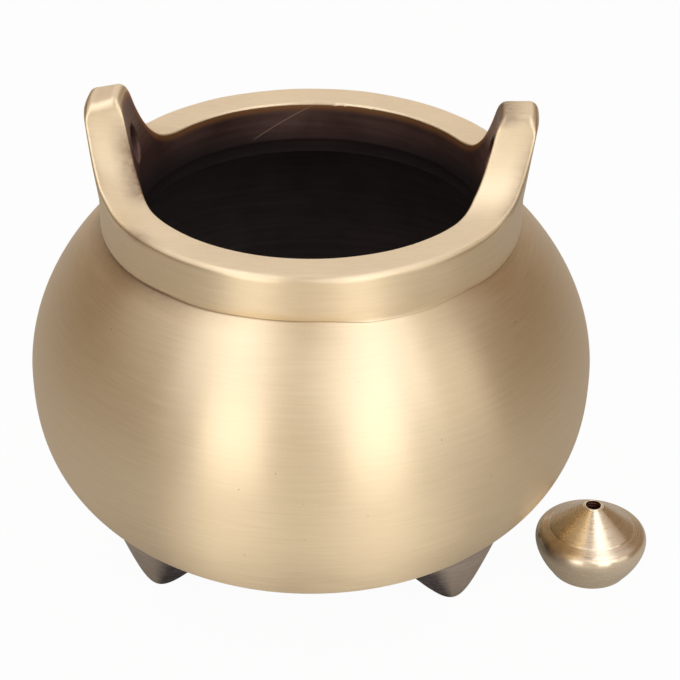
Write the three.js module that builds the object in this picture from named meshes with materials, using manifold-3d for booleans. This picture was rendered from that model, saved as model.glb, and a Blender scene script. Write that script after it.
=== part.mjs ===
// Tripod incense burner in satin brass: a round belly, a neck collar with two upright pierced
// ears, three rounded conical feet, and a loose turned incense stick holder beside it.
// Millimetres, +Z up. Z = 0 is the table. The ears lie along X, and -Y is the front.
import * as THREE from 'three';
import { mergeVertices } from 'three/addons/utils/BufferGeometryUtils.js';
import Module from 'manifold-3d';

const wasm = await Module();
wasm.setup();

const degrees = THREE.MathUtils.degToRad;

// Belly: two quarter superellipses that meet at the equator.
const bellyRadius = 37;
const tableClearance = 6.1;
const lowerDrop = 24.45;
const lowerFullness = 2.54;
const upperRise = 30.58;
const upperFullness = 1.91;
const bellyWall = 3;
const floorRadius = 13;
const undersideRadius = 9;

// Collar: the neck wall, its spigot in the belly's mouth, and the rim.
const neckRise = 20.98;
const collarHeight = 5.46;
const neckBore = 21.96;
const collarWall = 5;
const collarFootSpread = 0.1;
const collarUndercut = 0.5;
const outerEdgeRound = 0.8;
const innerEdgeRound = 0.4;
const spigotLength = 2.1;
const spigotWall = 2;
const spigotClearance = 0.3;

// Ears: raised parts of the collar wall, pierced by an oval hole.
const earHeight = 10.2;
const earTopHalfWidth = 1.7;
const earCornerRadius = 2;
const earFlankAngle = degrees(65);
const earSpread = 15.2;
const earFootEase = 8.9;
const earFlankEase = 0.95;
const earFlankRound = 0.45;
const earTopRound = 1.2;
const earTopInnerRound = 1;
const earTopBlendHeight = 2.2;
const leftEarTopLift = 0.65;
const earOuterFlare = 0.133;
const earInnerFlare = 0.192;
const outerFlareDrop = 1.5;
const innerFlareRise = 1.1;
const innerWallStep = 0.3;
const flareBlendHeight = 1.8;
const earHoleHeight = 3.35;
const earHoleHalfHeight = 2.45;
const earHoleHalfWidth = 1.65;

// Feet: blunt cones that lean in towards the top.
const footInset = 14.1;
const footTilt = degrees(14);
const footTipRadius = 1.58;
const footTaper = 0.62;
const footTipCut = 0.25;
const footLength = 13.5;
const footSeatClearance = 0.3;
const footPegRadius = 2;
const footPegDepth = 1.5;
const footAngles = {
  rear_foot: degrees(90),
  left_foot: degrees(210),
  right_foot: degrees(330),
};

// Incense stick holder.
const holderRadius = 7.58;
const holderHeight = 10.35;
const holderShoulderHeight = 4.9;
const holderBaseRadius = 5.45;
const holderBaseRound = 0.4;
const holderBaseSwell = 0.75;
const holderDrumEase = 1.5;
const holderShoulderEase = 1.3;
const holderConeFootRadius = 5.8;
const holderConeFootHeight = 6.95;
const holderConeEase = 0.15;
const holderLipRadius = 1.25;
const stickBoreRadius = 1;
const holderGap = 1.8;
const holderForward = 4;

// Facets round each turned piece, and along each curve.
const aroundBody = 64;
const aroundHolder = 44;
const aroundFoot = 36;
const aroundPeg = 20;
const skinSteps = 20;
const innerSkinSteps = 13;
const footSteps = 12;
const earFlankSteps = 14;
const earCornerSteps = 4;
const rimSteps = 9;
const holeCurveSteps = 28;
const drumSteps = 7;
const shoulderSteps = 8;
const seatSearchSteps = 40;

const equatorHeight = tableClearance + lowerDrop;
const collarFootHeight = equatorHeight + neckRise;
const rimHeight = collarFootHeight + collarHeight;
const collarRadius = neckBore + collarWall;
const spigotRadius = neckBore + spigotWall;
const mouthBore = spigotRadius + spigotClearance;
const footCircleRadius = bellyRadius - footInset;

// The burner and the holder stand centred together on the origin. The gap is counted from the
// belly's widest point to the holder's axis, because the holder reaches in under the belly.
const holderOffsetX = bellyRadius + holderGap;
const burnerX = -(holderOffsetX + holderRadius - bellyRadius) / 2;

const satinBrass = { color: 0xc8b083, roughness: 0.38, metalness: 1 };
const polishedBrass = { color: 0xcfae6c, roughness: 0.25, metalness: 1 };

// Leaves one copy of each shared corner, so that a mesh is one closed skin.
function weld(geometry) {
  const bare = geometry.index ? geometry.toNonIndexed() : geometry.clone();
  bare.deleteAttribute('normal');
  bare.deleteAttribute('uv');
  return mergeVertices(bare, 1e-4);
}

function toSolid(geometry) {
  const welded = weld(geometry);
  return new wasm.Manifold(new wasm.Mesh({
    numProp: 3,
    vertProperties: new Float32Array(welded.attributes.position.array),
    triVerts: new Uint32Array(welded.index.array),
  }));
}

function toGeometry(solid) {
  const mesh = solid.getMesh();
  const geometry = new THREE.BufferGeometry();
  geometry.setAttribute('position', new THREE.BufferAttribute(mesh.vertProperties, 3));
  geometry.setIndex(new THREE.BufferAttribute(mesh.triVerts, 1));
  geometry.computeVertexNormals();
  return geometry;
}

// Turns a profile of [radius, height] points about the vertical axis.
function turned(profile, steps) {
  const points = profile.map(([radius, height]) => new THREE.Vector2(radius, height));
  return new THREE.LatheGeometry(points, steps).rotateX(Math.PI / 2);
}

function turnedPin(radius, from, to) {
  return turned([[0, from], [radius, from], [radius, to], [0, to]], aroundPeg);
}

function bezier(points, steps) {
  const curve = new THREE.CubicBezierCurve(...points.map(([x, y]) => new THREE.Vector2(x, y)));
  return curve.getPoints(steps).map(({ x, y }) => [x, y]);
}

// Second coordinate of a quarter superellipse with the given half axes, at a first coordinate.
function superellipse(along, halfAxis, otherHalfAxis, fullness) {
  const share = Math.max(0, 1 - (along / halfAxis) ** fullness);
  return otherHalfAxis * share ** (1 / fullness);
}

function lowerHeightAt(radius, offset) {
  const drop = lowerDrop + offset;
  return equatorHeight - superellipse(radius, bellyRadius + offset, drop, lowerFullness);
}

function upperHeightAt(radius, offset) {
  const rise = upperRise + offset;
  return equatorHeight + superellipse(radius, bellyRadius + offset, rise, upperFullness);
}

// The belly's meridian between two heights, grown outwards or shrunk inwards by an offset.
function meridian(fromHeight, toHeight, offset, steps) {
  const drop = lowerDrop + offset;
  const rise = upperRise + offset;
  const start = Math.asin(Math.max(-1, (fromHeight - equatorHeight) / drop));
  const end = Math.asin(Math.min(1, (toHeight - equatorHeight) / rise));
  const points = [];
  for (let i = 0; i <= steps; i += 1) {
    const turn = start + (end - start) * (i / steps);
    const reach = bellyRadius + offset;
    if (turn < 0) {
      const depth = -drop * Math.sin(turn);
      points.push([superellipse(depth, drop, reach, lowerFullness), equatorHeight - depth]);
    } else {
      const height = rise * Math.sin(turn);
      points.push([superellipse(height, rise, reach, upperFullness), equatorHeight + height]);
    }
  }
  return points;
}

const undersideHeight = lowerHeightAt(undersideRadius, 0);
const floorHeight = lowerHeightAt(floorRadius, -bellyWall);
const mouthInnerHeight = upperHeightAt(mouthBore, -bellyWall);

// The bowl: a turned shell with a flat floor and a mouth bored for the collar's spigot.
function bellyGeometry() {
  return turned([
    [0, undersideHeight],
    ...meridian(undersideHeight, collarFootHeight, 0, skinSteps),
    [mouthBore, collarFootHeight],
    ...meridian(floorHeight, mouthInnerHeight, -bellyWall, innerSkinSteps).reverse(),
    [0, floorHeight],
  ], aroundBody);
}

// Where a foot's axis crosses the belly's skin, as a length up from the tip.
function seatLength() {
  let low = 0;
  let high = footLength;
  for (let i = 0; i < seatSearchSteps; i += 1) {
    const middle = (low + high) / 2;
    const radius = footCircleRadius - middle * Math.sin(footTilt);
    const height = middle * Math.cos(footTilt) - footTipCut;
    if (height < lowerHeightAt(radius, 0)) {
      low = middle;
    } else {
      high = middle;
    }
  }
  return low;
}

// Sets a piece that was made on the vertical axis on its leaning axis, at a foot's place.
function setAsFoot(geometry, angle) {
  const reach = footCircleRadius + footTipRadius * Math.sin(footTilt);
  return geometry
    .rotateY(-footTilt)
    .translate(reach, 0, -footTipCut)
    .rotateZ(angle);
}

function pegSocket(angle) {
  const radius = footPegRadius + footSeatClearance;
  const end = seatLength() + footPegDepth + footSeatClearance;
  return toSolid(setAsFoot(turnedPin(radius, 0, end), angle));
}

// A foot: a cone with a round tip that stands on a small flat, hollowed on top to the curve of
// the belly, with a peg that stands in a blind hole.
function footGeometry(angle) {
  const profile = [];
  for (let i = 0; i <= footSteps; i += 1) {
    const height = footLength * (i / footSteps) ** 2;
    const radius = Math.sqrt(2 * footTipRadius * height + (footTaper * height) ** 2);
    profile.push([radius, height]);
  }
  profile.push([0, footLength]);
  const cone = toSolid(setAsFoot(turned(profile, aroundFoot), angle));
  const roomBottom = undersideHeight - footSeatClearance;
  const bellyRoom = toSolid(turned([
    [0, roomBottom],
    ...meridian(roomBottom, collarFootHeight, footSeatClearance, skinSteps),
    [0, collarFootHeight],
  ], aroundBody));
  const table = new THREE.BoxGeometry(4 * bellyRadius, 4 * bellyRadius, footLength);
  table.translate(0, 0, -footLength / 2);
  const end = seatLength() + footPegDepth;
  const peg = toSolid(setAsFoot(turnedPin(footPegRadius, end / 2, end), angle));
  return toGeometry(cone.subtract(bellyRoom).add(peg).subtract(toSolid(table)));
}

// Side outline of one ear as [half width, height above the rim] points, from its foot up: a
// long ease out of the rim, a steep flank and a round corner.
function earOutline() {
  const cornerHeight = earHeight - earCornerRadius * (1 - Math.cos(earFlankAngle));
  const cornerHalfWidth = earTopHalfWidth + earCornerRadius * Math.sin(earFlankAngle);
  const flank = bezier([
    [earSpread, 0],
    [earSpread - earFootEase, 0],
    [
      cornerHalfWidth + earFlankEase * Math.cos(earFlankAngle),
      cornerHeight - earFlankEase * Math.sin(earFlankAngle),
    ],
    [cornerHalfWidth, cornerHeight],
  ], earFlankSteps);
  for (let i = 1; i <= earCornerSteps; i += 1) {
    const turn = earFlankAngle * (1 - i / earCornerSteps);
    flank.push([
      earTopHalfWidth + earCornerRadius * Math.sin(turn),
      earHeight - earCornerRadius * (1 - Math.cos(turn)),
    ]);
  }
  return flank;
}

// The stations of the collar from the middle of an ear to the middle of the rim, a quarter
// turn on: an angle, and how high the wall stands above the rim there.
function quarterStations() {
  const ear = earOutline().map(([half, height]) => (
    { angle: Math.asin(half / collarRadius), height })).reverse();
  const rimStart = ear[ear.length - 1].angle;
  const rim = Array.from({ length: rimSteps }, (_, i) => (
    { angle: rimStart + (Math.PI / 2 - rimStart) * ((i + 1) / rimSteps), height: 0 }));
  return [{ angle: 0, height: earHeight }, ...ear, ...rim];
}

function collarStations() {
  const quarter = quarterStations();
  const mirrored = quarter.slice(0, -1).reverse().map(({ angle, height }) => (
    { angle: Math.PI - angle, height }));
  const half = [...quarter, ...mirrored];
  const otherHalf = half.slice(1, -1).reverse().map(({ angle, height }) => (
    { angle: 2 * Math.PI - angle, height }));
  return [...half, ...otherHalf];
}

// Section of the collar wall at an angle where it stands a given height above the rim: a
// spigot, an undercut foot, a wall that flares on the ears, and soft edges along the top. The
// left ear's top slopes up to its inner edge.
function collarSection(angle, height) {
  const top = rimHeight + height;
  const flareShare = THREE.MathUtils.smoothstep(height, 0, flareBlendHeight);
  const outerStart = rimHeight - outerFlareDrop;
  const innerStart = rimHeight - innerEdgeRound - innerWallStep;
  const outer = (at) => collarRadius
    + earOuterFlare * flareShare * Math.max(0, at - outerStart);
  const inner = (at) => neckBore
    + earInnerFlare * flareShare * Math.max(0, at - rimHeight - innerFlareRise);
  const topShare = THREE.MathUtils.smoothstep(height, earHeight - earTopBlendHeight, earHeight);
  const lowRound = THREE.MathUtils.lerp(outerEdgeRound, earFlankRound, flareShare);
  const outerRound = THREE.MathUtils.lerp(lowRound, earTopRound, topShare);
  const outerEdge = [0, 30, 60, 90].map((turn) => [
    outer(top - outerRound) - outerRound * (1 - Math.cos(degrees(turn))),
    top - outerRound * (1 - Math.sin(degrees(turn))),
  ]);
  const innerTop = Math.cos(angle) < 0 ? top + leftEarTopLift * topShare : top;
  const innerRound = THREE.MathUtils.lerp(innerEdgeRound, earTopInnerRound, topShare);
  const innerSoft = innerRound * (1 - Math.SQRT1_2);
  const middle = (innerStart + innerTop - innerRound) / 2;
  return [
    [neckBore, collarFootHeight - spigotLength],
    [spigotRadius, collarFootHeight - spigotLength],
    [spigotRadius, collarFootHeight],
    [collarRadius + collarFootSpread - collarUndercut, collarFootHeight],
    [collarRadius + collarFootSpread, collarFootHeight + collarUndercut],
    [collarRadius, outerStart],
    ...outerEdge,
    [inner(innerTop) + innerRound, innerTop],
    [inner(innerTop) + innerSoft, innerTop - innerSoft],
    [inner(innerTop - innerRound), innerTop - innerRound],
    [inner(middle), middle],
    [neckBore, innerStart],
  ];
}

// Joins the sections round the collar into one closed skin.
function collarGeometry() {
  const stations = collarStations();
  const positions = stations.flatMap(({ angle, height }) => (
    collarSection(angle, height).flatMap(([radius, at]) => (
      [radius * Math.cos(angle), radius * Math.sin(angle), at]))));
  const sides = positions.length / 3 / stations.length;
  const index = [];
  for (let i = 0; i < stations.length; i += 1) {
    const next = (i + 1) % stations.length;
    for (let j = 0; j < sides; j += 1) {
      const up = (j + 1) % sides;
      const corners = [i * sides + j, next * sides + j, next * sides + up, i * sides + up];
      index.push(corners[0], corners[1], corners[2], corners[0], corners[2], corners[3]);
    }
  }
  const geometry = new THREE.BufferGeometry();
  geometry.setAttribute('position', new THREE.Float32BufferAttribute(positions, 3));
  geometry.setIndex(index);
  return geometry;
}

// One oval bar along X pierces both ears.
function earHoleBar() {
  const outline = new THREE.Shape();
  outline.absellipse(0, 0, earHoleHalfWidth, earHoleHalfHeight, 0, 2 * Math.PI);
  const length = 3 * collarRadius;
  const bar = new THREE.ExtrudeGeometry(outline, {
    depth: length, bevelEnabled: false, curveSegments: holeCurveSteps,
  });
  bar.translate(0, 0, -length / 2);
  bar.rotateX(Math.PI / 2);
  bar.rotateZ(Math.PI / 2);
  bar.translate(0, 0, rimHeight + earHoleHeight);
  return toSolid(bar);
}

// The holder: a low drum that widens to a round shoulder, then a straight cone up to a thin
// lip round the bore. The shoulder's last control point lies on the cone's line.
function holderGeometry() {
  const drum = bezier([
    [holderBaseRadius, holderBaseRound],
    [holderBaseRadius + holderBaseSwell, holderBaseRound + holderBaseSwell],
    [holderRadius, holderShoulderHeight - holderDrumEase],
    [holderRadius, holderShoulderHeight],
  ], drumSteps);
  const shoulder = bezier([
    [holderRadius, holderShoulderHeight],
    [holderRadius, holderShoulderHeight + holderShoulderEase],
    [
      holderConeFootRadius + holderConeEase * (holderConeFootRadius - holderLipRadius),
      holderConeFootHeight - holderConeEase * (holderHeight - holderConeFootHeight),
    ],
    [holderConeFootRadius, holderConeFootHeight],
  ], shoulderSteps).slice(1);
  return weld(turned([
    [stickBoreRadius, 0],
    [holderBaseRadius - holderBaseRound, 0],
    ...drum,
    ...shoulder,
    [holderLipRadius, holderHeight],
    [stickBoreRadius, holderHeight],
    [stickBoreRadius, 0],
  ], aroundHolder));
}

function brassPiece(name, geometry, { color, roughness, metalness }) {
  const material = new THREE.MeshStandardMaterial({ color, roughness, metalness });
  const mesh = new THREE.Mesh(geometry, material);
  mesh.name = name;
  return mesh;
}

const burner = new THREE.Group();
burner.position.set(burnerX, 0, 0);

const bowl = Object.values(footAngles).reduce(
  (solid, angle) => solid.subtract(pegSocket(angle)),
  toSolid(bellyGeometry()),
);
burner.add(brassPiece('belly_bowl', toGeometry(bowl), satinBrass));

const collar = toSolid(collarGeometry()).subtract(earHoleBar());
burner.add(brassPiece('neck_collar_with_ears', toGeometry(collar), satinBrass));

for (const [name, angle] of Object.entries(footAngles)) {
  burner.add(brassPiece(name, footGeometry(angle), satinBrass));
}

const holder = brassPiece('incense_stick_holder', holderGeometry(), polishedBrass);
holder.position.set(burnerX + holderOffsetX, -holderForward, 0);

const censer = new THREE.Group();
censer.add(burner, holder);

export default censer;
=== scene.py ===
"""A brass tripod incense burner and its stick holder on a white table, in soft studio light.

Lengths are millimetres in the shared frame until a mesh is made. The table, the lamps and the textures are
in metres. +Z is up and -Y is the front. An azimuth is in degrees from the front, growing towards +X.
"""
import math

import bmesh
import bpy
import numpy as np
from mathutils import Matrix, Vector


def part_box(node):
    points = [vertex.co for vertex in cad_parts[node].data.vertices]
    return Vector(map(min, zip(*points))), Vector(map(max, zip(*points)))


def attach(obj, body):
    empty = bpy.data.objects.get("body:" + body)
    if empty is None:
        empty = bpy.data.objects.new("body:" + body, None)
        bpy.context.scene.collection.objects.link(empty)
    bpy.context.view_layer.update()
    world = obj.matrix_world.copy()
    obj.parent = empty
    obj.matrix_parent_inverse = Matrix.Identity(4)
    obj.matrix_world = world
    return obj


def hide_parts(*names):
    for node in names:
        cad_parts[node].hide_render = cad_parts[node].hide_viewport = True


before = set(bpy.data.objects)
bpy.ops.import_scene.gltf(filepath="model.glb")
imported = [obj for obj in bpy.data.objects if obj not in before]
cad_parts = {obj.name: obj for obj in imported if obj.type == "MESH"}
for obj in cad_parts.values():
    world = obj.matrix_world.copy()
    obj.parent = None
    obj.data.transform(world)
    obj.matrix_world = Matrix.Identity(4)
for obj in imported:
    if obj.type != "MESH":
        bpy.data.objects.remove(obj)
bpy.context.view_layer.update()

MM = 0.001


def node_box(node):
    lowest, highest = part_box(node)
    return Vector(lowest) / MM, Vector(highest) / MM


belly_low, belly_high = node_box("belly_bowl")
collar_low, collar_high = node_box("neck_collar_with_ears")
holder_low, holder_high = node_box("incense_stick_holder")

# Belly
BURNER_X = (belly_low.x + belly_high.x) / 2
BELLY_RADIUS = (belly_high.x - belly_low.x) / 2
UNDERSIDE = belly_low.z
COLLAR_FOOT = belly_high.z
EQUATOR = 30.55
LOWER_DROP = 24.45
LOWER_FULLNESS = 2.54
UPPER_RISE = 30.58
UPPER_FULLNESS = 1.91
BELLY_WALL = 3.0
FLOOR_RADIUS = 13.0
MOUTH_BORE = 24.26
# How far below the collar's foot the belly's rings lie closer together, for the crease
FINE_BAND = 2.4

# Collar and ears
EAR_HEIGHT = 10.2
LEFT_EAR_LIFT = 0.65
EAR_TOP = collar_high.z - LEFT_EAR_LIFT
RIM = EAR_TOP - EAR_HEIGHT
NECK_BORE = 21.96
COLLAR_RADIUS = 26.96
SPIGOT_BOTTOM = collar_low.z
SPIGOT_RADIUS = 23.96
SPIGOT_CHAMFER = 0.1
SPIGOT_TOP = COLLAR_FOOT - 0.2
STEP_BORE = 22.3
STEP_HEIGHT = COLLAR_FOOT - 0.1
# How far the step's edges are broken: across, above and below it
STEP_BREAK_ACROSS = 0.04
STEP_BREAK_ABOVE = 0.03
STEP_BREAK_BELOW = 0.05
BORE_END_GAP = 0.12
INNER_EDGE_ROUND = 0.35
EAR_FLANK_ROUND = 0.45
EAR_TOP_ROUND = 1.2
EAR_TOP_INNER_ROUND = 1.0
EAR_TOP_BLEND = 2.2
EAR_TOP_HALF_WIDTH = 1.7
EAR_CORNER_RADIUS = 2.0
EAR_FLANK_ANGLE = math.radians(65)
EAR_SPREAD = 15.2
EAR_FOOT_EASE = 8.9
EAR_FLANK_EASE = 0.95
OUTER_FLARE = 0.133
OUTER_FLARE_DROP = 1.5
INNER_FLARE = 0.192
INNER_FLARE_RISE = 1.1
FLARE_BLEND = 1.8
HOLE_HEIGHT = 3.35
HOLE_HALF_HEIGHT = 2.45
HOLE_HALF_WIDTH = 1.65
HOLE_EDGE_ROUND = 0.2
# How far the tool that cuts the holes stands out of the ears' faces
HOLE_TOOL_REACH = 3.0
# How round the rim's outer edge is, by azimuth
RIM_ROUND = ((-180, 0.55), (-100, 0.4), (-62, 0.45), (-25, 0.8), (20, 0.85), (60, 0.65), (180, 0.55))
# The unevenness of the hand-finished edges: height, waves round the ring and phase
EDGE_WAVES = ((0.05, 7, 1), (0.04, 17, 0))
INNER_WAVE_SHARE = 0.3
# Small nicks in the rim's inner edge: angle from +X, depth, and half width in degrees
NICKS = ((86, 0.16, 0.5), (82.5, 0.12, 0.35), (73, 0.14, 0.3), (-52, 0.14, 0.3), (118, 0.1, 0.4))

# Crease between the collar and the belly
# How open it is, 0 to 1, by azimuth
GROOVE = (
    (-180, 0.8), (-70, 1.0), (-40, 0.9), (-22, 0.42), (-5, 0.24), (2, 0.2), (8, 0.0),
    (44, 0.0), (52, 0.2), (100, 0.4), (180, 0.8),
)
# Where it is filled with metal and the collar runs smoothly into the belly, 0 to 1, by azimuth
FILL = ((-180, 0.0), (6, 0.0), (22, 1.0), (32, 1.0), (52, 0.2), (80, 0.0), (180, 0.0))
# How far the collar's foot is drawn in below its wall, by azimuth
COLLAR_TUCK = (
    (-180, 0.1), (-75, 0.1), (-52, 0.0), (-30, 0.15), (-8, 0.32), (40, 0.35), (60, 0.22), (180, 0.1),
)
# How high the crease gapes as a hairline and when fully open, the grooves between which each of these
# grows, and how deep a closed foot is pressed in
HAIRLINE_GAP = 0.04
HAIRLINE_GROOVES = (0.1, 0.5)
OPEN_GAP = 0.3
OPEN_GROOVES = (0.35, 1)
COLLAR_OVERLAP = 0.03
# The rounding of the collar's foot, out and up from the meeting line, and what fill and tuck add
COLLAR_BEND = 0.12
COLLAR_LIFT = 0.1
COLLAR_RISE = 0.6
COLLAR_PULL = 0.45
FILL_SPREAD = 0.4
FILL_BEND = 0.1
FILL_SINK = 0.03
FILL_RISE = 0.7
FILL_PULL = 0.3
TUCK_RISE = 2.4
# Where the foot goes inside the wall, and where the plain wall takes over
COLLAR_INSET = 0.9
WALL_FOOT = COLLAR_FOOT + 2.4

# Feet
FOOT_CIRCLE = 22.9
FOOT_TILT = math.radians(14)
FOOT_TIP_RADIUS = 1.58
FOOT_TAPER = 0.62
FOOT_TIP_CUT = 0.25
FOOT_LENGTH = 11.6
# How deep a foot runs into the belly's wall, and how far what is left of it is pressed together there
FOOT_SINK = 1.2
FOOT_SINK_SQUEEZE = 0.02
FOOT_ANGLES = {
    "rear_foot": math.radians(90),
    "left_foot": math.radians(210),
    "right_foot": math.radians(330),
}

# Stick holder
HOLDER_X = (holder_low.x + holder_high.x) / 2
HOLDER_Y = (holder_low.y + holder_high.y) / 2
HOLDER_RADIUS = (holder_high.x - holder_low.x) / 2
HOLDER_HEIGHT = holder_high.z
HOLDER_SHOULDER = 4.9
HOLDER_BASE_RADIUS = 5.45
HOLDER_BASE_ROUND = 0.4
HOLDER_BASE_SWELL = 0.75
HOLDER_DRUM_EASE = 1.5
HOLDER_SHOULDER_EASE = 1.55
HOLDER_CONE_FOOT_RADIUS = 5.8
HOLDER_CONE_FOOT_HEIGHT = 6.95
HOLDER_CONE_EASE = 0.15
HOLDER_CONE_SHARE = 0.97
HOLDER_LIP_RADIUS = 1.25
HOLDER_LIP_FALL = 0.1
HOLDER_LIP_EASE = 0.03
HOLDER_LIP_CHAMFER = 0.05
HOLDER_BORE = 1.0
HOLDER_BORE_CHAMFER = 0.08
HOLDER_BORE_EASE = 0.02
THREAD_TURNS = 20
THREAD_PITCH = 0.45
THREAD_DEPTH = 0.09
THREAD_FLANK = 0.12
THREAD_START = 0.3
# Fine lines turned into the holder: the radius and height of each, and its depth
TURNED_LINES = ((5.85, 6.92, 0.07), (7.3, 4.1, 0.05), (7.0, 3.6, 0.03))
# The square of their half width
TURNED_LINE_SPREAD = 0.012

# Camera, matched to the photograph, with its angles in radians
YAW = math.radians(3.5)
ELEVATION = 0.5431
ROLL = 0.0074
DISTANCE = 273.09
FOCAL_PX = 2048.3
FRAME_PX = 680
SENSOR_WIDTH = 36.0
TARGET_RIGHT = 3.79
TARGET_HEIGHT = EQUATOR + 1.90

# Brushed lines: their thickness and their length, the length on the ears' tops, and a step along the
# noise that makes the two ears differ
GRAIN_ACROSS = 0.3
GRAIN_ALONG = 7.0
TOP_GRAIN_ALONG = 3.5
EAR_GRAIN_STEP = 40
# The depths below the crest between which the brushing turns from the tops' to the walls', and the
# distances from the bore over which it does so
TOP_GRAIN_DEPTHS = (0.15, 0.85)
TOP_GRAIN_REACHES = (1.0, 3.0)
LEAST_SMEAR = 0.001

# Patina and painted shade, as strengths from 0 to 1 and the distances between which each fades
# The crease's, and how it grows with the groove
CREASE_SHADE = 0.8
CREASE_GROWTH = 1.3
# How far below the meeting line it starts and is full on the belly, closed, and more when open
CREASE_START = 0.08
CREASE_START_MORE = 0.28
CREASE_FULL = -0.06
CREASE_FULL_MORE = 0.2
# How far above the meeting line it ends on the collar, closed, and more when open, and its soft edge
CREASE_END = 0.1
CREASE_END_MORE = 0.65
CREASE_END_SOFTNESS = 0.3
CREASE_DEPTH = 1.5
# The belly's: patina and painted shade round each foot, from its middle, then painted shade underneath
# and at the lower edge, from the axis
FOOT_SHADE = 0.7
FOOT_SHADE_CIRCLE = 20.7
FOOT_SHADE_RADII = (6.3, 8.5)
UNDER_SHADE = 0.55
UNDER_SHADE_RADII = (12, 24)
LOWER_SHADE = 0.2
LOWER_SHADE_RADII = (22, 33)
# The front flanks of the ears: patina on the left one from its inner face and painted shade on the right
# one from its outer face, above the rim, below the ears' top, and no deeper than this below the crest
LEFT_FLANK_SHADE = 0.75
LEFT_FLANK_GROWTH = 1.2
RIGHT_FLANK_SHADE = 0.32
INNER_SHADE_REACH = (0.1, 2.9)
OUTER_SHADE_REACH = (0.2, 2.2)
FLANK_SHADE_RISE = (0.1, 0.9)
FLANK_SHADE_FALL = (1.2, 5.2)
FLANK_SHADE_DEPTH = 1.2
# Patina and painted shade on the right ear's top, between these depths below the ears' top
RIGHT_TOP_SHADE = 0.6
RIGHT_TOP_SHADE_FALL = (0.4, 1.6)
RIGHT_TOP_SHADE_DEPTH = 1.5
# A smudge on the rim's outer edge: azimuth and its spread, distance inside the wall and its spread
SMUDGE_SHADE = 0.4
SMUDGE_AZIMUTH = -47.0
SMUDGE_SPREAD = 6.0
SMUDGE_INSET = 0.5
SMUDGE_WIDTH = 0.8
SMUDGE_DEPTHS = (0.5, 0.9)
# The worn upper edge inside the neck, by depth below the crest
WORN_DEPTHS = (0.5, 1.3)
WORN_REACH = 0.2
# The feet's painted shade: near the belly and on the side that faces inwards, by angle, and darker at the tip
FOOT_TOP_SHADE = 0.75
FOOT_TOP_SHADE_FROM = -2.4
FOOT_TOP_SHADE_TO = 0.1
FOOT_INNER_SHADE = 0.95
FOOT_INNER_SHADE_ANGLES = (48, 74)
FOOT_TIP_SHADE = 0.6
FOOT_TIP_SHADE_HEIGHTS = (0.1, 0.9)
# A painted dark reflection on the holder's shoulder: azimuth and its spread, height and its spread
HOLDER_REFLECTION_SHADE = 0.55
HOLDER_REFLECTION_AZIMUTH = -42
HOLDER_REFLECTION_SPREAD = 20
HOLDER_REFLECTION_HEIGHT = 5.9
HOLDER_REFLECTION_RISE = 1.2


def superellipse(along, half_axis, other_half_axis, fullness):
    share = max(0.0, 1 - (along / half_axis) ** fullness)
    return other_half_axis * share ** (1 / fullness)


def lower_height_at(radius, offset):
    return EQUATOR - superellipse(radius, BELLY_RADIUS + offset, LOWER_DROP + offset, LOWER_FULLNESS)


def upper_height_at(radius, offset):
    return EQUATOR + superellipse(radius, BELLY_RADIUS + offset, UPPER_RISE + offset, UPPER_FULLNESS)


def belly_radius_at(height):
    if height < EQUATOR:
        return superellipse(EQUATOR - height, LOWER_DROP, BELLY_RADIUS, LOWER_FULLNESS)
    return superellipse(height - EQUATOR, UPPER_RISE, BELLY_RADIUS, UPPER_FULLNESS)


def meridian(from_height, to_height, offset, steps):
    """The belly's profile between two heights as (radius, height) points."""
    drop = LOWER_DROP + offset
    rise = UPPER_RISE + offset
    reach = BELLY_RADIUS + offset
    start = math.asin(max(-1.0, (from_height - EQUATOR) / drop))
    end = math.asin(min(1.0, (to_height - EQUATOR) / rise))
    points = []
    for turn in np.linspace(start, end, steps + 1):
        if turn < 0:
            depth = -drop * math.sin(turn)
            points.append((superellipse(depth, drop, reach, LOWER_FULLNESS), EQUATOR - depth))
        else:
            height = rise * math.sin(turn)
            points.append((superellipse(height, rise, reach, UPPER_FULLNESS), EQUATOR + height))
    return points


def bezier(points, steps):
    a, b, c, d = (np.array(point) for point in points)
    return [
        tuple((1 - t) ** 3 * a + 3 * t * (1 - t) ** 2 * b + 3 * t * t * (1 - t) * c + t ** 3 * d)
        for t in np.linspace(0, 1, steps + 1)]


def arc(centre, radius, start, end, steps):
    return [
        (centre[0] + radius * math.cos(math.radians(turn)),
         centre[1] + radius * math.sin(math.radians(turn)))
        for turn in np.linspace(start, end, steps + 1)]


def smoothstep(value, low, high):
    """One value eased from 0 at low to 1 at high."""
    share = min(1.0, max(0.0, (value - low) / (high - low)))
    return share * share * (3 - 2 * share)


def ramp(values, low, high):
    """An array taken straight from 0 at low to 1 at high."""
    return np.clip((values - low) / (high - low), 0, 1)


def stepped(rows, at):
    """Eases between rows of (place, value)."""
    for (left, before), (right, after) in zip(rows, rows[1:]):
        if at <= right:
            return before + (after - before) * smoothstep(at, left, right)
    return rows[-1][1]


def azimuth_from_front(x, y):
    return math.degrees(math.atan2(x, -y))


def collar_reach(azimuth):
    """The radius at which the collar's foot meets the belly."""
    return COLLAR_RADIUS - stepped(COLLAR_TUCK, azimuth)


def crease_shade(groove):
    return CREASE_SHADE * groove ** CREASE_GROWTH


# Objects and meshes
def new_object(name, data):
    made = bpy.data.objects.new(name, data)
    bpy.context.scene.collection.objects.link(made)
    return made


def make_piece(name, points, faces, materials, face_materials, body, node):
    """A mesh piece from points in millimetres, which rides on a body and stands for a CAD node."""
    mesh = bpy.data.meshes.new(name)
    mesh.from_pydata([tuple(np.array(point) * MM) for point in points], [], faces)
    for material in materials:
        mesh.materials.append(material)
    mesh.polygons.foreach_set("material_index", face_materials)
    mesh.polygons.foreach_set("use_smooth", [True] * len(faces))
    mesh.validate()
    mesh.set_sharp_from_angle(angle=math.radians(40))
    piece = new_object(name, mesh)
    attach(piece, body)
    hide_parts(node)
    return piece


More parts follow.
